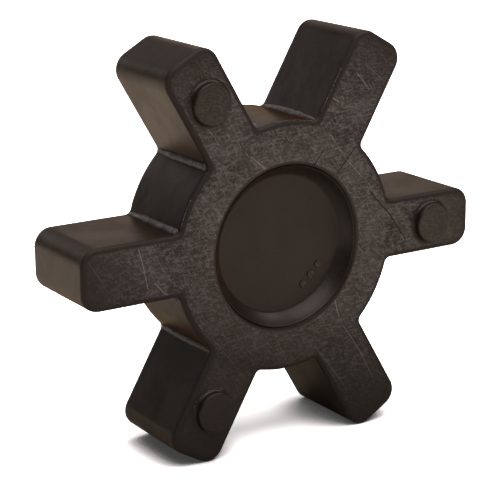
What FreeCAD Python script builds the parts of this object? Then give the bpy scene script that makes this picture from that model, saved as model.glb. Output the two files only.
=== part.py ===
import FreeCAD, Part
import math
import os

from FreeCAD import Vector

# Spider of a jaw coupling: one elastomer moulding that is held between two jawed hubs.
# The coupling's axis is Y, with the front face towards -Y, and Z is up.
# The origin is on the axis, halfway through the thickness.
# Legs point at 0, 60, ... 300 degrees, measured from +X towards +Z, so that the spider
# stands on the two legs at 240 and 300 degrees.

# Driving dimensions, in millimetres.
LEG_COUNT = 6
LEG_SPAN = 95.2               # across the end faces of two opposite legs
LEG_WIDTH = 12.9
BODY_THICKNESS = 21.2         # between the two flat faces, without the buttons
RING_DIAMETER = 53.0          # outside of the ring that joins the legs
TIP_CORNER_RADIUS = 3.75
ROOT_RADIUS = 1.2             # inside corner between a leg and the ring
FACE_EDGE_RADIUS = 0.8        # all round both flat faces

RECESS_DIAMETER = 34.2        # room for the ends of the two shafts
RECESS_FLOOR_DIAMETER = 29.4  # the wall between floor and face is hollow
RECESS_DEPTH = 3.2            # in each face, so a thick web stays between them
RECESS_WALL_RADIUS = 9.0
RECESS_RIM_RADIUS = 0.8

BUTTON_CIRCLE_RADIUS = 37.0   # axis of the coupling to the axis of a button
BUTTON_DIAMETER = 8.8
BUTTON_HEIGHT = 1.7           # how far a button keeps the legs off a hub
BUTTON_EDGE_RADIUS = 0.4
BUTTON_FOOT_RADIUS = 0.8

# Worked out from them.
HALF_THICKNESS = BODY_THICKNESS / 2
RING_RADIUS = RING_DIAMETER / 2
RECESS_RADIUS = RECESS_DIAMETER / 2
BUTTON_RADIUS = BUTTON_DIAMETER / 2
LEG_STEP = 360.0 / LEG_COUNT
TIP_EDGE_RADIUS = math.hypot(LEG_SPAN / 2, LEG_WIDTH / 2)

NODE = "spider"
TOLERANCE = 1e-3
CENTRE = Vector(0, 0, 0)
TURN_AXIS = Vector(0, -1, 0)  # a positive turn goes from +X towards +Z


def rod(radius, y_from, y_to, offset=0.0, angle=0.0):
    """Round bar along Y, standing at the given distance and angle from the axis."""
    bar = Part.makeCylinder(radius, y_to - y_from, Vector(offset, y_from, 0), Vector(0, 1, 0))
    bar.rotate(CENTRE, TURN_AXIS, angle)
    return bar


def star_blank():
    """Ring and legs as one sharp-edged prism."""
    # The half step hides the seam of the round bar inside a leg.
    blank = rod(RING_RADIUS, -HALF_THICKNESS, HALF_THICKNESS, angle=LEG_STEP / 2)
    for index in range(LEG_COUNT // 2):
        corner = Vector(-LEG_SPAN / 2, -HALF_THICKNESS, -LEG_WIDTH / 2)
        bar = Part.makeBox(LEG_SPAN, BODY_THICKNESS, LEG_WIDTH, corner)
        bar.rotate(CENTRE, TURN_AXIS, index * LEG_STEP)
        blank = blank.fuse(bar)
    return blank.removeSplitter()


def edges_along_axis(shape, radius):
    """Straight edges parallel to Y that lie at this distance from the axis."""
    found = []
    for edge in shape.Edges:
        box = edge.BoundBox
        upright = box.XLength < TOLERANCE and box.ZLength < TOLERANCE
        if upright and abs(math.hypot(box.XMin, box.ZMin) - radius) < TOLERANCE:
            found.append(edge)
    return found


def edges_in_plane(shape, height):
    """Edges that lie in the plane y = height or in its mirror image."""
    found = []
    for edge in shape.Edges:
        box = edge.BoundBox
        if box.YLength < TOLERANCE and abs(abs(box.Center.y) - height) < TOLERANCE:
            found.append(edge)
    return found


def round_edges(shape, radius, edges, expected):
    """Round the edges, after making sure that they are the ones meant."""
    if len(edges) != expected:
        raise ValueError(f"{len(edges)} edges found where {expected} were expected")
    return shape.makeFillet(radius, edges)


def circles_in_plane(shape, height, radius):
    """Full circles of this radius in the plane y = height or in its mirror image."""
    found = []
    for edge in edges_in_plane(shape, height):
        if isinstance(edge.Curve, Part.Circle) and abs(edge.Curve.Radius - radius) < TOLERANCE:
            found.append(edge)
    return found


def rounded_star():
    """Star prism with its tips, roots and face edges rounded."""
    star = star_blank()
    tips = edges_along_axis(star, TIP_EDGE_RADIUS)
    star = round_edges(star, TIP_CORNER_RADIUS, tips, 2 * LEG_COUNT)
    roots = edges_along_axis(star, RING_RADIUS)
    star = round_edges(star, ROOT_RADIUS, roots, 2 * LEG_COUNT)
    outline = edges_in_plane(star, HALF_THICKNESS)
    # Each leg has two flanks, two corners, an end, two roots and one arc of the ring.
    return round_edges(star, FACE_EDGE_RADIUS, outline, 2 * 8 * LEG_COUNT)


def recess_cutter():
    """Dished disc in the shape of the rear recess."""
    bottom = Vector(0, HALF_THICKNESS - RECESS_DEPTH, 0)
    foot = bottom + Vector(RECESS_FLOOR_DIAMETER / 2, 0, 0)
    top = Vector(0, HALF_THICKNESS, 0)
    mouth = top + Vector(RECESS_RADIUS, 0, 0)
    chord = mouth - foot
    bulge = RECESS_WALL_RADIUS - math.sqrt(RECESS_WALL_RADIUS ** 2 - chord.Length ** 2 / 4)
    outwards = Vector(chord.y, -chord.x, 0).normalize()
    middle = (foot + mouth) * 0.5 + outwards * bulge
    edges = [Part.LineSegment(bottom, foot), Part.Arc(foot, middle, mouth),
             Part.LineSegment(mouth, top), Part.LineSegment(top, bottom)]
    profile = Part.Face(Part.Wire([edge.toShape() for edge in edges]))
    return profile.revolve(CENTRE, Vector(0, 1, 0), 360)


def cut_recesses(star):
    """Shallow round recess in the middle of both faces."""
    cutter = recess_cutter()
    star = star.cut(cutter).cut(cutter.mirror(CENTRE, Vector(0, 1, 0)))
    rims = circles_in_plane(star, HALF_THICKNESS, RECESS_RADIUS)
    return round_edges(star, RECESS_RIM_RADIUS, rims, 2)


def add_buttons(star):
    """Stand-off buttons on alternate legs: the even legs in front, the odd legs behind."""
    top = HALF_THICKNESS + BUTTON_HEIGHT
    for index in range(LEG_COUNT):
        low, high = (-top, 0) if index % 2 == 0 else (0, top)
        star = star.fuse(rod(BUTTON_RADIUS, low, high, BUTTON_CIRCLE_RADIUS, index * LEG_STEP))
    star = star.removeSplitter()
    tops = circles_in_plane(star, top, BUTTON_RADIUS)
    star = round_edges(star, BUTTON_EDGE_RADIUS, tops, LEG_COUNT)
    feet = circles_in_plane(star, HALF_THICKNESS, BUTTON_RADIUS)
    return round_edges(star, BUTTON_FOOT_RADIUS, feet, LEG_COUNT)


def make_spider():
    """The whole moulding as one solid."""
    shape = add_buttons(cut_recesses(rounded_star()))
    if len(shape.Solids) != 1 or not shape.isValid():
        raise ValueError("the spider isn't one valid solid")
    return shape.Solids[0]


spider = make_spider()
os.makedirs("parts", exist_ok=True)
spider.exportStep(f"parts/{NODE}.step")
box = spider.optimalBoundingBox(False, False)
print(f"{NODE}: {box.XLength:.2f} x {box.YLength:.2f} x {box.ZLength:.2f} mm, {spider.Volume / 1000:.1f} cm3")
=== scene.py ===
import math

import bmesh
import bpy
from mathutils import Matrix, Vector, noise


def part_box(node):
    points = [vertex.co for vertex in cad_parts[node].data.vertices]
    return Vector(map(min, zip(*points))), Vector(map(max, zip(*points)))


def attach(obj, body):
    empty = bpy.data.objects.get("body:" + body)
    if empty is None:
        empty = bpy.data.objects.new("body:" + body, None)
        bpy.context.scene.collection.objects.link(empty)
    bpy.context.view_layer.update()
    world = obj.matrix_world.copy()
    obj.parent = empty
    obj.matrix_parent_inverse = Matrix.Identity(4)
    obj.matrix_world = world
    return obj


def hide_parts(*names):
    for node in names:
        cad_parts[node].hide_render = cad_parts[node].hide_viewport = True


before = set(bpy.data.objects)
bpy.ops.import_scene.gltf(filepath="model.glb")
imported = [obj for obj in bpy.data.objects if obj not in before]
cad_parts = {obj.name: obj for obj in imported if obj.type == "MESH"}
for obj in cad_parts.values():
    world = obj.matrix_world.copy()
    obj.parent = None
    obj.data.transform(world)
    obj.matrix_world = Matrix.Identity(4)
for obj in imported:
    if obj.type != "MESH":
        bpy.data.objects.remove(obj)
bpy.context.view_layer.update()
low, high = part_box("spider")
mm = 0.001
print("frame loaded, spider is", [round((b - a) / mm, 1) for a, b in zip(low, high)], "mm")


# The spider is modelled lying down in millimetres, with X and Y across it and Z out of its front face.
# standUp turns it so that the front looks along -Y, and brings it to metres.
standUp = Matrix.Rotation(math.radians(90), 4, "X") @ Matrix.Scale(mm, 4)

moulding = {
    "legs": 6,
    "legWidth": 12.9,
    "ringRadius": 26.5,
    "tipRadius": 3.75,        # round corners at the end of a leg
    "tipSegments": 12,
    "rootRadius": 1.3,        # fillet between a leg and the ring
    "rootSegments": 6,
    "arcCuts": 11,            # points added to the ring between two legs
    "edgeRadius": 0.75,       # along both faces
    "edgeSegments": 4,
    "edgeSpan": 1.6,          # edge radii from a face to the next level
    "levels": (-0.82, -0.55, -0.28, 0, 0.28, 0.55, 0.82),   # the others, as shares of that height
    "rollWidth": 0.4,         # beside every edge of a face
    "rollDrop": 0.04,
    # shares of that width and drop, and how far the step takes part in the handling of a face
    "rollSteps": ((0.35, 0.55, 0.1), (0.4, 0.35, 0.6), (0.2, 0.1, 0.95), (0.05, 0, 1)),
    "gridStep": 1.2,          # spacing of points along the outline
    "buttonHeight": 1.7,
    "sag": 0.035,             # how far the flanks wander from flat
    "sagPatch": 9,            # from one hollow to the next
    "fillTurn": 0.31,
}
recess = {
    "radius": 17.05,
    "rimRadius": 0.8,
    "rimSteps": 5,
    "rimFlat": 0.3,           # level ring outside the rim
    "depth": 3.2,
    "wallRadius": 9.0,        # the wall is slightly hollow, and meets the floor at an edge
    "wallArc": (-25, -51),
    "wallSteps": 9,
    "floorRings": (0.985, 0.9, 0.6, 0.3, 0),
    "steps": 120,
}
button = {
    "radius": 4.3,
    "edgeRadius": 0.35,
    "edgeSteps": 4,
    "footRadius": 0.7,
    "footSteps": 7,
    "footFlat": 0.05,         # level ring outside the foot
    "topRings": (0.93, 0.5, 0),
    "circleRadius": 37.0,
    "scuff": 0.3,
    "steps": 64,
}

tipReach = high.x / mm
topPlane = high.y / mm - 0.002
facePlane = topPlane - moulding["buttonHeight"]
legStep = 2 * math.pi / moulding["legs"]


def legDirection(index):
    return Vector((math.cos(index * legStep), math.sin(index * legStep), 0))


def arcPoints(centre, radius, startDeg, endDeg, count):
    # points of a rounding in a profile, where x is the radius and z the height
    points = []
    for step in range(count + 1):
        angle = math.radians(startDeg + (endDeg - startDeg) * step / count)
        across, up = radius * math.cos(angle), radius * math.sin(angle)
        points.append(Vector((centre[0] + across, 0, centre[1] + up)))
    return points


def starSheet(bm, sizes):
    # a twelve-sided disc, whose even sides are pulled out into legs
    made = bmesh.ops.create_circle(bm, cap_ends=True, radius=sizes["ringRadius"],
                                   segments=2 * sizes["legs"])
    halfAngle = math.asin(sizes["legWidth"] / 2 / sizes["ringRadius"])
    for index, vert in enumerate(made["verts"]):
        leg, side = divmod(index, 2)
        turn = Matrix.Rotation(leg * legStep + (halfAngle if side else -halfAngle), 3, "Z")
        vert.co = turn @ Vector((sizes["ringRadius"], 0, 0))
    baseReach = sizes["ringRadius"] * math.cos(halfAngle)
    bases = [e for e in bm.edges if (e.verts[0].co - e.verts[1].co).length < sizes["legWidth"] * 1.001
             and abs((e.verts[0].co + e.verts[1].co).length / 2 - baseReach) < 0.01]
    pulled = bmesh.ops.extrude_edge_only(bm, edges=bases)
    for vert in [g for g in pulled["geom"] if isinstance(g, bmesh.types.BMVert)]:
        leg = round(math.atan2(vert.co.y, vert.co.x) / legStep)
        vert.co += legDirection(leg) * (tipReach - baseReach)
    bmesh.ops.dissolve_faces(bm, faces=bm.faces[:])
    # the six sides left on the ring become arcs
    arcs = [e for e in bm.edges if all(v.co.length < sizes["ringRadius"] * 1.001 for v in e.verts)]
    cut = bmesh.ops.subdivide_edges(bm, edges=arcs, cuts=sizes["arcCuts"])
    for item in cut["geom_inner"]:
        if isinstance(item, bmesh.types.BMVert):
            item.co = item.co.normalized() * sizes["ringRadius"]
    roots = [v for v in bm.verts if v.co.length < sizes["ringRadius"] * 1.001
             and any((e.other_vert(v).co - v.co).length > sizes["legWidth"] / 2 for e in v.link_edges)]
    tips = [v for v in bm.verts if v.co.length > tipReach]
    cornerAngle = math.radians(90) + halfAngle
    bmesh.ops.bevel(bm, geom=roots, offset=sizes["rootRadius"] / math.tan(cornerAngle / 2),
                    segments=sizes["rootSegments"], profile=0.5, affect="VERTICES", material=-1)
    bmesh.ops.bevel(bm, geom=tips, offset=sizes["tipRadius"], segments=sizes["tipSegments"],
                    profile=0.5, affect="VERTICES", material=-1)
    for edge in [e for e in bm.edges if e.calc_length() > 2 * sizes["gridStep"]]:
        bmesh.ops.subdivide_edges(bm, edges=[edge], cuts=int(edge.calc_length() / sizes["gridStep"]) - 1)


def thicken(bm, sizes):
    # the sheet grows through the thickness in steps, which are closest at both faces
    half = facePlane - sizes["rollDrop"]
    inner = half - sizes["edgeRadius"] * sizes["edgeSpan"]
    levels = [-half, -inner] + [inner * f for f in sizes["levels"]] + [inner, half]
    bmesh.ops.translate(bm, verts=bm.verts[:], vec=(0, 0, levels[0]))
    cap = bm.faces[:]
    for below, above in zip(levels, levels[1:]):
        grown = bmesh.ops.extrude_face_region(bm, geom=cap)
        if below > levels[0]:
            bmesh.ops.delete(bm, geom=cap, context="FACES_ONLY")
        cap = [g for g in grown["geom"] if isinstance(g, bmesh.types.BMFace)]
        moved = [g for g in grown["geom"] if isinstance(g, bmesh.types.BMVert)]
        bmesh.ops.translate(bm, verts=moved, vec=(0, 0, above - below))
    bmesh.ops.recalc_face_normals(bm, faces=bm.faces[:])
    outline = {e for f in bm.faces if len(f.verts) > 8 for e in f.edges}
    bmesh.ops.bevel(bm, geom=list(outline), offset=sizes["edgeRadius"], segments=sizes["edgeSegments"],
                    profile=0.5, affect="EDGES", material=-1)
    worn = bm.verts.layers.float["worn"]
    for vert in bm.verts:
        if abs(vert.co.z) > half - sizes["edgeRadius"] * 1.05:
            vert[worn] = 1.0
    # both faces roll off towards their edges
    caps = [f for f in bm.faces if len(f.verts) > 8]
    scuff = bm.verts.layers.float["scuff"]
    for width, drop, share in sizes["rollSteps"]:
        bmesh.ops.inset_region(bm, faces=caps, thickness=width * sizes["rollWidth"],
                               depth=drop * sizes["rollDrop"], use_even_offset=True)
        for vert in {v for f in caps for v in f.verts}:
            vert[scuff] = share
    return caps


def spunPart(points, steps):
    # turns a profile once round its own axis and closes its pole
    part = bmesh.new()
    verts = [part.verts.new(p) for p in points]
    edges = [part.edges.new(pair) for pair in zip(verts, verts[1:])]
    bmesh.ops.spin(part, geom=verts + edges, cent=(0, 0, 0), axis=(0, 0, 1), angle=2 * math.pi,
                   steps=steps, use_merge=True)
    bmesh.ops.remove_doubles(part, verts=part.verts[:], dist=0.0005)
    mesh = bpy.data.meshes.new("spunPart")
    part.to_mesh(mesh)
    part.free()
    return mesh


def setIn(bm, mesh, place):
    # puts a copy of a spun part in its place and returns its open rim
    known = len(bm.verts)
    bm.from_mesh(mesh)
    bm.verts.ensure_lookup_table()
    added = bm.verts[known:]
    bmesh.ops.transform(bm, matrix=place, verts=added)
    return list({e for v in added for e in v.link_edges if e.is_boundary})


def recessProfile(sizes, height):
    rimCentre = (sizes["radius"] + sizes["rimRadius"], height - sizes["rimRadius"])
    start, end = sizes["wallArc"]
    floor = height - sizes["depth"]
    wallCentre = (sizes["radius"] - sizes["wallRadius"] * math.cos(math.radians(start)),
                  floor - sizes["wallRadius"] * math.sin(math.radians(end)))
    points = [Vector((rimCentre[0] + sizes["rimFlat"], 0, height))]
    points += arcPoints(rimCentre, sizes["rimRadius"], 90, 170, sizes["rimSteps"])
    points += arcPoints(wallCentre, sizes["wallRadius"], start, end, sizes["wallSteps"])
    reach = points[-1].x
    points += [Vector((reach * f, 0, floor)) for f in sizes["floorRings"]]
    return points


def buttonProfile(sizes, height, top):
    points = [Vector((sizes["radius"] + sizes["footRadius"] + sizes["footFlat"], 0, height))]
    foot = (sizes["radius"] + sizes["footRadius"], height + sizes["footRadius"])
    points += arcPoints(foot, sizes["footRadius"], 270, 180, sizes["footSteps"])
    edge = (sizes["radius"] - sizes["edgeRadius"], top - sizes["edgeRadius"])
    points += arcPoints(edge, sizes["edgeRadius"], 0, 90, sizes["edgeSteps"])
    points += [Vector((edge[0] * f, 0, top)) for f in sizes["topRings"]]
    return points


def wander(bm, sizes):
    # moulded rubber is never quite flat: the flanks wander inwards a little
    for vert in bm.verts:
        onFlank = abs(vert.co.z) < facePlane - sizes["rollDrop"] * 0.5
        if onFlank and vert.co.to_2d().length > sizes["ringRadius"] * 0.9:
            depth = 0.5 + 0.5 * noise.noise(vert.co / sizes["sagPatch"])
            vert.co -= vert.normal * sizes["sag"] * depth


def fillFace(bm, edges, side, dish, stud):
    # one face is closed between its outline, the recess and its three buttons
    facing = Matrix.Identity(4) if side > 0 else Matrix.Rotation(math.pi, 4, "X")
    rims = setIn(bm, dish, facing)
    for leg in range(0 if side > 0 else 1, moulding["legs"], 2):
        rims += setIn(bm, stud, Matrix.Translation(legDirection(leg) * button["circleRadius"]) @ facing)
    scuff = bm.verts.layers.float["scuff"]
    for vert in {v for e in rims for v in e.verts}:
        vert[scuff] = 1.0
    for vert in bm.verts:
        if abs(vert.co.z) > topPlane - 0.01:
            vert[scuff] = button["scuff"]
    # filling is surest when no side lies along an axis
    askew = Matrix.Rotation(moulding["fillTurn"], 4, "Z")
    bmesh.ops.transform(bm, matrix=askew, verts=bm.verts[:])
    bmesh.ops.triangle_fill(bm, use_beauty=True, use_dissolve=False, edges=edges + rims,
                            normal=(0, 0, side))
    bmesh.ops.transform(bm, matrix=askew.inverted(), verts=bm.verts[:])


def makePiece(name, bm):
    # lying workpiece to standing, smooth-shaded piece
    bmesh.ops.recalc_face_normals(bm, faces=bm.faces[:])
    bmesh.ops.transform(bm, matrix=standUp, verts=bm.verts[:])
    loose = [e for e in bm.edges if not e.is_manifold]
    print(name + ":", len(bm.faces), "faces,", len(loose), "open edges")
    mesh = bpy.data.meshes.new(name)
    bm.to_mesh(mesh)
    bm.free()
    for face in mesh.polygons:
        face.use_smooth = True
    piece = bpy.data.objects.new(name, mesh)
    bpy.context.scene.collection.objects.link(piece)
    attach(piece, "root")
    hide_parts("spider")
    return piece


def makeSpider():
    bm = bmesh.new()
    bm.verts.layers.float.new("scuff")   # how far a spot takes part in the handling of a face
    bm.verts.layers.float.new("worn")    # rubbed edges, duller than the rest
    starSheet(bm, moulding)
    caps = thicken(bm, moulding)
    bm.normal_update()
    wander(bm, moulding)
    outlines = [(1 if cap.calc_center_median().z > 0 else -1, list(cap.edges)) for cap in caps]
    bmesh.ops.delete(bm, geom=caps, context="FACES_ONLY")
    dish = spunPart(recessProfile(recess, facePlane), recess["steps"])
    stud = spunPart(buttonProfile(button, facePlane, topPlane), button["steps"])
    for side, edges in outlines:
        fillFace(bm, edges, side, dish, stud)
    return makePiece("spiderMoulding", bm)


spider = makeSpider()


finsAndHighlights = {
    "height": 0.28,
    "thickness": 0.11,
    "pitch": 0.3,                     # between two teeth of the ragged rim
    "leastTooth": 0.15,               # share of the height where the rim is lowest
    "toothGain": 1.5,
    "toothPitch": 1.9,                # how fast the rim goes up and down
    "sunk": 0.15,                     # how far a fin reaches into the moulding
    "edgeInset": 0.12,                # from the flank inwards
    "edgeDrop": 0.28,                 # from the face down
    "edgeLean": 0.6,                  # how much a fin leans forward
    "legRuns": [(1, 1, 27.8, 37.8)],  # leg, side, from and to along it
    "ringRuns": [(75, 97), (150, 163)],
    # round the buttons' feet the runs over the top are painted highlight crescents, the lower ones are
    # flash
    "footFlashAndHighlights": [(0, 4.75, 195, 290), (0, 4.65, 70, 188), (2, 5.3, 205, 232), (2, 5.8, 238, 262),
                 (2, 4.65, 55, 185), (4, 4.65, 60, 170)],   # leg, radius, from and to round its button
    "footHeight": 1.3,
    "footLean": (0.6, 0.8),           # forward, outward
    "footWave": (0.1, 9),             # how far and how fast the radius sways
    "endRuns": [(3, 1)],              # leg, side: along the thickness, on the end face
    "endHeight": 0.7,
    "endInset": 0.1,
    "endLean": (0.9, 0.05),           # across, along
}


def addFin(bm, path, length, height):
    # a thin ragged fin, left where two halves of a mould met; over the tops of the buttons' feet it
    # stands for a painted highlight instead
    count = max(3, int(length / finsAndHighlights["pitch"]))
    fin = bmesh.ops.create_grid(bm, x_segments=count, y_segments=1, size=0.5)["verts"]
    for vert in fin:
        spot, outward = path(vert.co.x + 0.5)
        rise = finsAndHighlights["leastTooth"] + finsAndHighlights["toothGain"] * abs(noise.noise(spot * finsAndHighlights["toothPitch"]))
        vert.co = spot + outward * (height * rise if vert.co.y > 0 else -finsAndHighlights["sunk"])
    faces = list({f for v in fin for f in v.link_faces})
    bmesh.ops.solidify(bm, geom=faces, thickness=finsAndHighlights["thickness"])


def roundAt(degrees):
    angle = math.radians(degrees)
    return Vector((math.cos(angle), math.sin(angle), 0))


def makeFinsAndHighlights():
    bm = bmesh.new()
    front = Vector((0, 0, 1))
    lip = facePlane - finsAndHighlights["edgeDrop"]
    for leg, side, near, far in finsAndHighlights["legRuns"]:
        along = legDirection(leg)
        across = front.cross(along) * side
        edge = across * (moulding["legWidth"] / 2 - finsAndHighlights["edgeInset"]) + front * lip
        lean = (across + front * finsAndHighlights["edgeLean"]).normalized()
        length = far - near
        addFin(bm, lambda t: (edge + along * (near + t * length), lean), length, finsAndHighlights["height"])
    for start, end in finsAndHighlights["ringRuns"]:
        def ringPath(t):
            out = roundAt(start + t * (end - start))
            lean = (out + front * finsAndHighlights["edgeLean"]).normalized()
            return out * (moulding["ringRadius"] - finsAndHighlights["edgeInset"]) + front * lip, lean
        addFin(bm, ringPath, moulding["ringRadius"] * math.radians(end - start), finsAndHighlights["height"])
    forward, outward = finsAndHighlights["footLean"]
    sway, waves = finsAndHighlights["footWave"]
    # painted highlight crescents over each button, and flash strands below it
    for leg, radius, start, end in finsAndHighlights["footFlashAndHighlights"]:
        centre = legDirection(leg) * button["circleRadius"] + front * facePlane

        def footPath(t):
            out = roundAt(start + t * (end - start))
            return centre + out * (radius + sway * math.sin(waves * t)), front * forward + out * outward
        addFin(bm, footPath, radius * math.radians(end - start), finsAndHighlights["height"] * finsAndHighlights["footHeight"])
    for leg, side in finsAndHighlights["endRuns"]:
        along = legDirection(leg)
        across = front.cross(along) * -side
        reach = tipReach - finsAndHighlights["endInset"]
        corner = along * reach + across * (moulding["legWidth"] / 2 - moulding["tipRadius"])
        lean = across * finsAndHighlights["endLean"][0] + along * finsAndHighlights["endLean"][1]
        addFin(bm, lambda t: (corner + front * (lip - 2 * lip * t), lean), 2 * lip,
               finsAndHighlights["height"] * finsAndHighlights["endHeight"])
    return makePiece("mouldFinsAndHighlights", bm)


bead = {
    "radius": 0.95,
    "segments": 16,
    "slimEnd": 0.45,       # share of the radius that is left at a slim end
    "fullFront": (2, 3),   # legs whose beads stay full up to the front
    "outward": 0.1,        # from the inside corner between ring and leg
    "frontGap": 0.9,       # where a bead ends before each face
    "endRadius": 0.45,
    "endSegments": 4,
    "cuts": 24,
    "lumps": 0.2,
    "lumpSize": 1.3,
    "seed": 7,             # the lumps are the same in every run
}


def makeBeads():
    # a thin bead of rubber runs down every inside corner and ends before both faces; its pale colour is a
    # painted highlight of that corner
    bm = bmesh.new()
    noise.seed_set(bead["seed"])
    half = facePlane - bead["frontGap"]
    base = math.sqrt(moulding["ringRadius"] ** 2 - (moulding["legWidth"] / 2) ** 2)
    hearts = []
    for leg in range(moulding["legs"]):
        for side in (-1, 1):
            offset = moulding["legWidth"] / 2 + bead["outward"]
            corner = Vector((base + bead["outward"], side * offset, 0))
            spot = Matrix.Rotation(leg * legStep, 4, "Z") @ Matrix.Translation(corner)
            hearts.append((spot.translation, leg))
            bmesh.ops.create_cone(bm, cap_ends=True, segments=bead["segments"], radius1=bead["radius"],
                                  radius2=bead["radius"], depth=2 * half, matrix=spot)
    ends = [e for e in bm.edges if abs(e.verts[0].co.z - e.verts[1].co.z) < 0.01]
    bmesh.ops.bevel(bm, geom=ends, offset=bead["endRadius"], segments=bead["endSegments"], profile=0.5,
                    affect="EDGES", material=-1)
    long = [e for e in bm.edges if abs(e.verts[0].co.z - e.verts[1].co.z) > half]
    bmesh.ops.subdivide_edges(bm, edges=long, cuts=bead["cuts"])
    for vert in bm.verts:
        heart = Vector((vert.co.x, vert.co.y, 0))
        heart, leg = min(hearts, key=lambda item: (item[0] - heart).length)
        full = leg in bead["fullFront"] and vert.co.z > 0
        belly = 1 if full else 1 - (vert.co.z / half) ** 2
        width = bead["slimEnd"] + (1 - bead["slimEnd"]) * belly
        out = Vector((vert.co.x, vert.co.y, 0)) - heart
        lump = noise.noise_vector(vert.co / bead["lumpSize"]) * bead["lumps"] * width
        vert.co += out * (width - 1) + lump
    return makePiece("rootBeads", bm)


mark = {
    "angle": -45,
    "radius": 11.0,
    "height": 0.35,
    "sunk": 0.02,
    "dotRadius": 0.8,
    "segments": 24,
    "edgeRadius": 0.15,
    "edgeSegments": 3,
    "pitch": 2.7,
    "count": 3,
}


def makeMark():
    # a plain row of dots, raised on the floor of the front recess
    bm = bmesh.new()
    for index in range(mark["count"]):
        aside = (index - (mark["count"] - 1) / 2) * mark["pitch"]
        spot = Matrix.Translation((0, aside, mark["height"] / 2))
        bmesh.ops.create_cone(bm, cap_ends=True, segments=mark["segments"], radius1=mark["dotRadius"],
                              radius2=mark["dotRadius"], depth=mark["height"], matrix=spot)
    upper = [e for e in bm.edges if all(v.co.z > mark["height"] * 0.9 for v in e.verts)]
    bmesh.ops.bevel(bm, geom=upper, offset=mark["edgeRadius"], segments=mark["edgeSegments"], profile=0.5,
                    affect="EDGES", material=-1)
    turn = Matrix.Rotation(math.radians(mark["angle"]), 4, "Z")
    place = turn @ Matrix.Translation((mark["radius"], 0, facePlane - recess["depth"] - mark["sunk"]))
    bmesh.ops.transform(bm, matrix=place, verts=bm.verts[:])
    return makePiece("mouldMark", bm)


nick = {
    "width": 0.2,
    "height": 0.04,
    "skew": 0.04,
    "pale": [((10.4, 22.3), (15.0, 16.2)), ((15.0, 16.2), (19.2, 11.9)), ((17.0, 34.6), (20.3, 30.9))],
    "dark": [((16.9, 19.1), (12.2, 13.8)), ((8.9, 19.4), (6.4, 16.4)), ((20.6, 9.1), (26.0, 3.4)),
             ((26.0, 3.4), (30.4, -2.9))],
}


def makeNicks():
    # the longest scratches of the front face, as slivers that lie on it
    bm = bmesh.new()
    for index, kind in enumerate(("pale", "dark")):
        for start, end in nick[kind]:
            run = Vector(end) - Vector(start)
            middle = (Vector(start) + Vector(end)) / 2
            place = (Matrix.Translation((middle.x, middle.y, facePlane))
                     @ Matrix.Rotation(math.atan2(run.y, run.x), 4, "Z")
                     @ Matrix.Diagonal((run.length, nick["width"], nick["height"], 1)))
            made = bmesh.ops.create_cube(bm, size=1, matrix=place)["verts"]
            for face in {f for v in made for f in v.link_faces}:
                face.material_index = index
            aside = Vector((-run.y, run.x, 0)).normalized() * nick["skew"]
            for vert in made:      # its two ends are shifted apart, so no sliver is a true oblong
                along = (vert.co.to_2d() - middle).dot(run.normalized())
                vert.co -= aside * (1 if along > 0 else -1)
    return makePiece("longScratches", bm)


finsAndHighlightsPiece = makeFinsAndHighlights()
beadPiece = makeBeads()
markPiece = makeMark()
nickPiece = makeNicks()
print("five pieces made")


def addNode(tree, kind, inputs=None, **settings):
    # one node with its settings; an input is a value or another node's socket
    made = tree.nodes.new("ShaderNode" + kind)
    for name, value in settings.items():
        setattr(made, name, value)
    for name, value in (inputs or {}).items():
        if isinstance(value, bpy.types.NodeSocket):
            tree.links.new(value, made.inputs[name])
        else:
            made.inputs[name].default_value = value
    return made


def addGroup(tree, group, inputs):
    return addNode(tree, "Group", inputs, node_tree=group).outputs


def calc(tree, operation, *values):
    return addNode(tree, "Math", dict(enumerate(values)), operation=operation).outputs[0]


def ramp(tree, value, start, end, low=0.0, high=1.0):
    made = addNode(tree, "MapRange", {"Value": value, "From Min": start, "From Max": end, "To Min": low,
                                      "To Max": high}, interpolation_type="SMOOTHSTEP")
    return made.outputs["Result"]


def newGroup(name, inputs, outputs):
    tree = bpy.data.node_groups.new(name, "ShaderNodeTree")
    for label, kind in inputs:
        tree.interface.new_socket(label, in_out="INPUT", socket_type="NodeSocket" + kind)
    for label in outputs:
        tree.interface.new_socket(label, in_out="OUTPUT", socket_type="NodeSocketFloat")
    return tree, tree.nodes.new("NodeGroupInput"), tree.nodes.new("NodeGroupOutput")


scratch = {
    "bow": 0.05,              # how much a long one bends
    "length": (0.15, 0.5),    # shortest and longest, as shares of its cell
    "fade": 0.5,              # share of the length from where it thins out
    "absent": 0.35,           # share of the cells that have none
}
grain = {
    "detail": 2.0,
    "roughness": 0.6,
    "specks": (0.42, 0.72),   # noise values where a speck starts and is full
    "cloudScale": 0.06,
    "cloudDetail": 3.0,
    "clouds": (0.35, 0.65),
}


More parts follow.
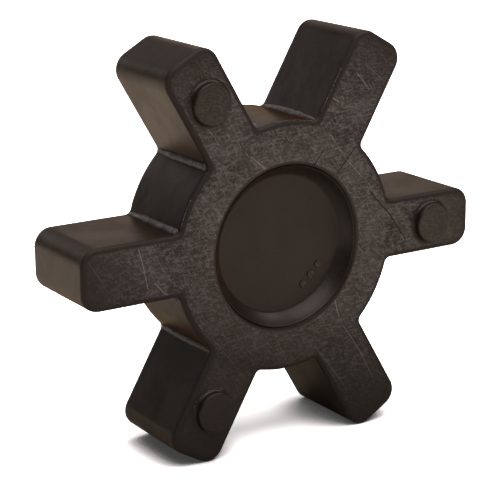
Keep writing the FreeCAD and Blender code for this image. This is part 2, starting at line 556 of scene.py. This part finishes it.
def makeScratchGroup():
    # short straight scratches on a face across Y: one in every long cell, each tilted its own way
    inputs = [("Place", "Vector"), ("Turn", "Float"), ("Spread", "Float"), ("Density", "Float"),
              ("Stretch", "Float"), ("Width", "Float")]
    tree, given, result = newGroup("scratches", inputs, ["Scratches"])
    place = addNode(tree, "SeparateXYZ", {0: given.outputs["Place"]})
    flat = addNode(tree, "CombineXYZ", {0: place.outputs[0], 1: place.outputs[2]})
    turned = addNode(tree, "VectorRotate", {"Vector": flat.outputs[0], "Angle": given.outputs["Turn"]},
                     rotation_type="Z_AXIS")
    dense = addNode(tree, "VectorMath", {0: turned.outputs[0], "Scale": given.outputs["Density"]},
                    operation="SCALE")
    stretch = addNode(tree, "CombineXYZ", {0: given.outputs["Stretch"], 1: 1.0, 2: 1.0})
    squeezed = addNode(tree, "VectorMath", {0: dense.outputs[0], 1: stretch.outputs[0]},
                       operation="DIVIDE")
    cells = addNode(tree, "TexVoronoi", {"Vector": squeezed.outputs[0], "Scale": 1.0},
                    voronoi_dimensions="2D")
    own = addNode(tree, "SeparateColor", {0: cells.outputs["Color"]})
    local = addNode(tree, "VectorMath", {0: squeezed.outputs[0], 1: cells.outputs["Position"]},
                    operation="SUBTRACT")
    local = addNode(tree, "VectorMath", {0: local.outputs[0], 1: stretch.outputs[0]},
                    operation="MULTIPLY")
    tilt = calc(tree, "MULTIPLY", calc(tree, "SUBTRACT", own.outputs[0], 0.5), given.outputs["Spread"])
    tilted = addNode(tree, "VectorRotate", {"Vector": local.outputs[0], "Angle": tilt},
                     rotation_type="Z_AXIS")
    run = addNode(tree, "SeparateXYZ", {0: tilted.outputs[0]})
    bow = calc(tree, "MULTIPLY", calc(tree, "MULTIPLY", run.outputs[0], run.outputs[0]),
               calc(tree, "MULTIPLY", calc(tree, "SUBTRACT", own.outputs[1], 0.5), scratch["bow"]))
    across = calc(tree, "ABSOLUTE", calc(tree, "ADD", run.outputs[1], bow))
    thin = ramp(tree, across, 0.0, given.outputs["Width"], 1.0, 0.0)
    reach = calc(tree, "MULTIPLY", given.outputs["Stretch"],
                 ramp(tree, own.outputs[1], 0, 1, *scratch["length"]))
    short = ramp(tree, calc(tree, "DIVIDE", calc(tree, "ABSOLUTE", run.outputs[0]), reach),
                 scratch["fade"], 1.0, 1.0, 0.0)
    depth = ramp(tree, own.outputs[2], scratch["absent"], 1.0)
    tree.links.new(calc(tree, "MULTIPLY", calc(tree, "MULTIPLY", thin, short), depth), result.inputs[0])
    return tree


def makeGrainGroup():
    # fine skin of moulded rubber: pale specks, slow clouds and a small relief
    tree, given, result = newGroup("grain", [("Place", "Vector"), ("Scale", "Float")],
                                   ["Specks", "Clouds", "Height"])
    fine = addNode(tree, "TexNoise", {"Vector": given.outputs["Place"], "Scale": given.outputs["Scale"],
                                      "Detail": grain["detail"], "Roughness": grain["roughness"]})
    slowScale = calc(tree, "MULTIPLY", given.outputs["Scale"], grain["cloudScale"])
    slow = addNode(tree, "TexNoise", {"Vector": given.outputs["Place"], "Detail": grain["cloudDetail"],
                                      "Roughness": grain["roughness"], "Scale": slowScale})
    tree.links.new(ramp(tree, fine.outputs[0], *grain["specks"]), result.inputs["Specks"])
    tree.links.new(ramp(tree, slow.outputs[0], *grain["clouds"]), result.inputs["Clouds"])
    tree.links.new(fine.outputs[0], result.inputs["Height"])
    return tree


scratchGroup = makeScratchGroup()
grainGroup = makeGrainGroup()


rubber = {
    "smooth": (0.0125, 0.009, 0.009, 1),    # untouched moulded skin
    "scuffed": (0.090, 0.083, 0.086, 1),    # handled faces
    "scratched": (0.23, 0.215, 0.212, 1),
    "smoothRoughness": 0.34,
    "dullClouds": 0.35,
    "scuffedRoughness": 0.55,
    "wornRoughness": 0.62,
    "specularLevel": 0.35,
    "specularTint": (1.0, 0.88, 0.83, 1),
    "film": (1.0, 0.945, 0.895, 1),         # thin brown film of wax on the skin
    "filmWeight": 1.0,
    "filmIor": 1.0,                         # it adds no gloss of its own
    "grainScale": 1900.0,
    "streakScale": 2600.0,
    "streakStretch": (0.3, 1, 1),
    "rubAngle": 1.05,                       # the way the faces were rubbed
    "scratchLayers": {
        "main": {"Turn": 1.05, "Spread": 0.5, "Density": 3600.0, "Stretch": 11.0, "Width": 0.42},
        "cross": {"Turn": -0.75, "Spread": 1.6, "Density": 2400.0, "Stretch": 8.0, "Width": 0.24},
        "deep": {"Turn": 0.95, "Spread": 0.9, "Density": 300.0, "Stretch": 6.0, "Width": 0.045},
    },
    "crossShare": 0.6,                      # beside the main scratches
    "fineShare": 0.48,                      # beside the deep ones
    "scuffReach": (49.0 * mm, 31.0 * mm),   # from the axis: none, full
    "scuffFoot": (-34.0 * mm, 0.0 * mm),    # height: least, full
    "scuffLean": 0.35,                      # how much lower the scuffs reach on the right
    "edgeBand": (0.3 * mm, 1.5 * mm),       # from the outline: none, full
    "leastScuff": 0.16,
    "mottle": {"clouds": 0.3, "specks": 0.35, "streaks": 0.85},
    "allOver": 0.06,                        # specks where nobody has touched
    "relief": {"grain": 0.5, "scratches": -1.0, "clouds": 1.5},
    "reliefStrength": 0.5,
    "reliefHeight": 0.04 * mm,
}


def makeRubber(values):
    material = bpy.data.materials.new("mouldedRubber")
    material.use_nodes = True
    tree = material.node_tree
    shader = tree.nodes["Principled BSDF"]
    place = addNode(tree, "TexCoord").outputs["Object"]
    at = addNode(tree, "SeparateXYZ", {0: place}).outputs
    rubbed = addNode(tree, "Mapping", {"Vector": place, "Rotation": (0, values["rubAngle"], 0),
                                       "Scale": values["streakStretch"]})
    skin = addGroup(tree, grainGroup, {"Place": place, "Scale": values["grainScale"]})
    streaks = addGroup(tree, grainGroup, {"Place": rubbed.outputs[0], "Scale": values["streakScale"]})
    scratches = {name: addGroup(tree, scratchGroup, {"Place": place, **layer})["Scratches"]
                 for name, layer in values["scratchLayers"].items()}
    # distance from the outline of a face, with all legs folded into one
    radius = calc(tree, "SQRT", calc(tree, "ADD", calc(tree, "MULTIPLY", at[0], at[0]),
                                     calc(tree, "MULTIPLY", at[2], at[2])))
    angle = calc(tree, "ARCTAN2", at[2], at[0])
    folded = calc(tree, "PINGPONG", angle, legStep / 2)
    across = calc(tree, "MULTIPLY", radius, calc(tree, "SINE", folded))
    along = calc(tree, "MULTIPLY", radius, calc(tree, "COSINE", folded))
    inside = calc(tree, "MAXIMUM", calc(tree, "SUBTRACT", moulding["ringRadius"] * mm, radius),
                  calc(tree, "SUBTRACT", moulding["legWidth"] / 2 * mm, across))
    inside = calc(tree, "MINIMUM", inside, calc(tree, "SUBTRACT", high.x, along))
    # how much a spot has been handled
    onFace = addNode(tree, "Attribute", attribute_name="scuff").outputs["Fac"]
    lift = calc(tree, "ADD", at[2], calc(tree, "MULTIPLY", at[0], values["scuffLean"]))
    handled = calc(tree, "MULTIPLY", ramp(tree, radius, *values["scuffReach"], values["leastScuff"], 1.0),
                   ramp(tree, lift, *values["scuffFoot"], values["leastScuff"], 1.0))
    handled = calc(tree, "MULTIPLY", calc(tree, "MULTIPLY", handled, onFace),
                   ramp(tree, inside, *values["edgeBand"]))
    share = values["mottle"]
    mottle = calc(tree, "ADD", calc(tree, "MULTIPLY", skin["Clouds"], share["clouds"]),
                  calc(tree, "ADD", calc(tree, "MULTIPLY", skin["Specks"], share["specks"]),
                       calc(tree, "MULTIPLY", streaks["Specks"], share["streaks"])))
    pale = calc(tree, "ADD", calc(tree, "MULTIPLY", handled, mottle),
                calc(tree, "MULTIPLY", skin["Specks"], values["allOver"]))
    crossing = calc(tree, "MULTIPLY", scratches["cross"], values["crossShare"])
    fine = calc(tree, "MULTIPLY", calc(tree, "ADD", scratches["main"], crossing), values["fineShare"])
    scratched = calc(tree, "MULTIPLY", handled, calc(tree, "MAXIMUM", fine, scratches["deep"]))
    colour = addNode(tree, "Mix", {"Factor": pale, 6: values["smooth"], 7: values["scuffed"]},
                     data_type="RGBA")
    colour = addNode(tree, "Mix", {"Factor": scratched, 6: colour.outputs[2], 7: values["scratched"]},
                     data_type="RGBA")
    tree.links.new(colour.outputs[2], shader.inputs["Base Color"])
    # untouched skin is not evenly dull either
    dull = calc(tree, "ADD", pale, calc(tree, "MULTIPLY", skin["Clouds"], values["dullClouds"]))
    rough = addNode(tree, "MapRange", {"Value": dull, "To Min": values["smoothRoughness"],
                                       "To Max": values["scuffedRoughness"]})
    worn = addNode(tree, "Attribute", attribute_name="worn").outputs["Fac"]
    rough = calc(tree, "MAXIMUM", rough.outputs[0], calc(tree, "MULTIPLY", worn, values["wornRoughness"]))
    tree.links.new(rough, shader.inputs["Roughness"])
    share = values["relief"]
    relief = calc(tree, "ADD", calc(tree, "MULTIPLY", skin["Height"], share["grain"]),
                  calc(tree, "MULTIPLY", scratched, share["scratches"]))
    relief = calc(tree, "ADD", relief, calc(tree, "MULTIPLY", skin["Clouds"], share["clouds"]))
    bump = addNode(tree, "Bump", {"Height": relief, "Strength": values["reliefStrength"],
                                  "Distance": values["reliefHeight"]})
    tree.links.new(bump.outputs[0], shader.inputs["Normal"])
    shader.inputs["Specular IOR Level"].default_value = values["specularLevel"]
    shader.inputs["Specular Tint"].default_value = values["specularTint"]
    shader.inputs["Coat Weight"].default_value = values["filmWeight"]
    shader.inputs["Coat IOR"].default_value = values["filmIor"]
    shader.inputs["Coat Tint"].default_value = values["film"]
    return material


spider.data.materials.append(makeRubber(rubber))


thinSkin = {
    "grainScale": 2500.0,
    "specularLevel": 0.3,
    "specularTint": (1.0, 0.88, 0.82, 1),
}
# pale fins: partly mould flash, partly painted highlights round the buttons' feet
paleFinsAndHighlights = {
    "colour": (0.16, 0.145, 0.135, 1),
    "shaded": (0.03, 0.027, 0.025, 1),
    "roughness": 0.5,
}
scratchRubber = {
    "colour": (0.22, 0.205, 0.2, 1),
    "shaded": (0.08, 0.074, 0.072, 1),
    "roughness": 0.6,
}
grooveRubber = {
    "colour": (0.012, 0.010, 0.010, 1),
    "shaded": (0.004, 0.003, 0.003, 1),
    "roughness": 0.8,
}
markRubber = {
    "colour": (0.085, 0.068, 0.062, 1),
    "shaded": (0.025, 0.019, 0.017, 1),
    "roughness": 0.5,
}
# painted highlight of the inside corners, carried by the beads
beadPaintedHighlight = {
    "colour": (0.13, 0.11, 0.10, 1),
    "shaded": (0.05, 0.042, 0.038, 1),
    "roughness": 0.45,
}


def makeThinRubber(name, values):
    # fins and beads are paler than the body: the fins partly as thin flash and partly as painted
    # highlights round the buttons, the beads as painted highlights in the inside corners
    material = bpy.data.materials.new(name)
    material.use_nodes = True
    tree = material.node_tree
    shader = tree.nodes["Principled BSDF"]
    place = addNode(tree, "TexCoord").outputs["Object"]
    skin = addGroup(tree, grainGroup, {"Place": place, "Scale": thinSkin["grainScale"]})
    colour = addNode(tree, "Mix", {"Factor": skin["Specks"], 6: values["shaded"], 7: values["colour"]},
                     data_type="RGBA")
    tree.links.new(colour.outputs[2], shader.inputs["Base Color"])
    shader.inputs["Roughness"].default_value = values["roughness"]
    shader.inputs["Specular IOR Level"].default_value = thinSkin["specularLevel"]
    shader.inputs["Specular Tint"].default_value = thinSkin["specularTint"]
    return material


finsAndHighlightsPiece.data.materials.append(makeThinRubber("paleFinsAndHighlights", paleFinsAndHighlights))
nickPiece.data.materials.append(makeThinRubber("scratchRubber", scratchRubber))
nickPiece.data.materials.append(makeThinRubber("grooveRubber", grooveRubber))
beadPiece.data.materials.append(makeThinRubber("beadPaintedHighlight", beadPaintedHighlight))
markPiece.data.materials.append(makeThinRubber("markRubber", markRubber))
print("rubber mixed")


studio = {
    "azimuthDeg": -32.6,
    "elevationDeg": 15.68,
    "rollDeg": -0.384,
    "distance": 369.9 * mm,
    "lensMm": 126.26,
    "sensorMm": 36,
    "clipStart": 0.01,
    "sideStep": -2.10 * mm,
    "rise": -2.95 * mm,
    "floorSide": 6.0,
    "paperSeen": (2.9, 2.78, 2.75, 1),
    "paperLift": 0.05,
    "contactPaintedShadow": (0.04, 0.034, 0.033, 1),   # painted contact shadow, where the spider nearly touches
    "contactReach": 10.0 * mm,
    "contactOpen": (0.15, 0.9),
    "contactSamples": 8,
    "paperReflected": (1.0, 0.94, 0.83, 1),
    "paperPaintedShade": (0.42, 0.395, 0.35, 1),      # painted shade on the paper close round the spider, which the spider reflects
    "shadeReach": (0.035, 0.17),
    "background": (1, 1, 1, 1),
    "roomLight": 0.12,
}


def makeCamera(values):
    camera = bpy.data.objects.new("camera", bpy.data.cameras.new("camera"))
    bpy.context.scene.collection.objects.link(camera)
    turn = (Matrix.Rotation(math.radians(values["azimuthDeg"]), 4, "Z")
            @ Matrix.Rotation(math.radians(90 - values["elevationDeg"]), 4, "X")
            @ Matrix.Rotation(math.radians(values["rollDeg"]), 4, "Z"))
    place = (values["sideStep"], values["rise"], values["distance"])
    camera.matrix_world = turn @ Matrix.Translation(place)
    camera.data.lens = values["lensMm"]
    camera.data.sensor_width = values["sensorMm"]
    camera.data.clip_start = values["clipStart"]
    bpy.context.scene.camera = camera


def makeFloor(values):
    bm = bmesh.new()
    bmesh.ops.create_grid(bm, x_segments=1, y_segments=1, size=values["floorSide"] / 2)
    bmesh.ops.translate(bm, verts=bm.verts[:], vec=(0, 0, low.z))
    mesh = bpy.data.meshes.new("floor")
    bm.to_mesh(mesh)
    bm.free()
    floor = bpy.data.objects.new("floor", mesh)
    bpy.context.scene.collection.objects.link(floor)
    paper = bpy.data.materials.new("paper")
    paper.use_nodes = True
    tree = paper.node_tree
    tree.nodes.clear()
    seen = addNode(tree, "LightPath").outputs["Is Camera Ray"]
    place = addNode(tree, "TexCoord").outputs["Object"]
    away = addNode(tree, "VectorMath", {0: place}, operation="LENGTH").outputs["Value"]
    # painted shade: the paper the spider reflects and is lit by is darker close round it
    near = ramp(tree, away, *values["shadeReach"], 1.0, 0.0)
    sheet = addNode(tree, "Mix", {"Factor": near, 6: values["paperReflected"], 7: values["paperPaintedShade"]},
                    data_type="RGBA")
    # painted contact shadow: the paper the camera sees darkens where the spider nearly touches it
    sky = addNode(tree, "AmbientOcclusion", {"Distance": values["contactReach"]},
                  samples=values["contactSamples"]).outputs["AO"]
    contact = addNode(tree, "Mix", {"Factor": ramp(tree, sky, *values["contactOpen"]),
                                    6: values["contactPaintedShadow"], 7: values["paperSeen"]}, data_type="RGBA")
    tint = addNode(tree, "Mix", {"Factor": seen, 6: sheet.outputs[2], 7: contact.outputs[2]},
                   data_type="RGBA")
    matt = addNode(tree, "BsdfDiffuse", {"Color": tint.outputs[2]})
    lift = addNode(tree, "Emission", {"Strength": calc(tree, "MULTIPLY", seen, values["paperLift"])})
    both = addNode(tree, "AddShader", {0: matt.outputs[0], 1: lift.outputs[0]})
    addNode(tree, "OutputMaterial", {"Surface": both.outputs[0]})
    mesh.materials.append(paper)


lamps = {
    # azimuth from the front towards +X, elevation, distance, width, height, power
    "overhead": (0, 88, 1.3, 1.7, 1.7, 17),
    "strip": (14, 46, 1.3, 2.0, 0.3, 2.6),
    "overRight": (76, 42, 1.3, 0.55, 0.3, 2.6),
    "overFront": (-14, 62, 0.28, 0.22, 0.22, 0.17),
    "front": (15, 20, 1.3, 0.6, 0.6, 0.6),
    "backRightLow": (147, 16, 1.3, 0.5, 0.5, 0.45),
    "backRight": (162, 36, 1.3, 0.6, 0.6, 0.4),
    "back": (-175, 10, 1.3, 0.6, 0.6, 2.1),
}


def makeLamp(name, azimuth, elevation, distance, width, height, power):
    lamp = bpy.data.objects.new(name, bpy.data.lights.new(name, "AREA"))
    lamp.data.shape = "RECTANGLE"
    lamp.data.size = width
    lamp.data.size_y = height
    lamp.data.energy = power
    turn = (Matrix.Rotation(math.radians(azimuth), 4, "Z")
            @ Matrix.Rotation(math.radians(90 - elevation), 4, "X"))
    lamp.matrix_world = turn @ Matrix.Translation((0, 0, distance))
    bpy.context.scene.collection.objects.link(lamp)


def makeWorld(values):
    world = bpy.data.worlds.new("studio")
    bpy.context.scene.world = world
    world.use_nodes = True
    world.cycles_visibility.glossy = False
    tree = world.node_tree
    tree.nodes.clear()
    seen = addNode(tree, "Background", {"Color": values["background"]})
    room = addNode(tree, "Background", {"Color": values["background"], "Strength": values["roomLight"]})
    both = addNode(tree, "MixShader", {0: addNode(tree, "LightPath").outputs["Is Camera Ray"],
                                       1: room.outputs[0], 2: seen.outputs[0]})
    addNode(tree, "OutputWorld", {"Surface": both.outputs[0]})


makeCamera(studio)
makeFloor(studio)
makeWorld(studio)
for name, values in lamps.items():
    makeLamp(name, *values)
bpy.context.scene.view_settings.view_transform = "Standard"
print("studio ready")
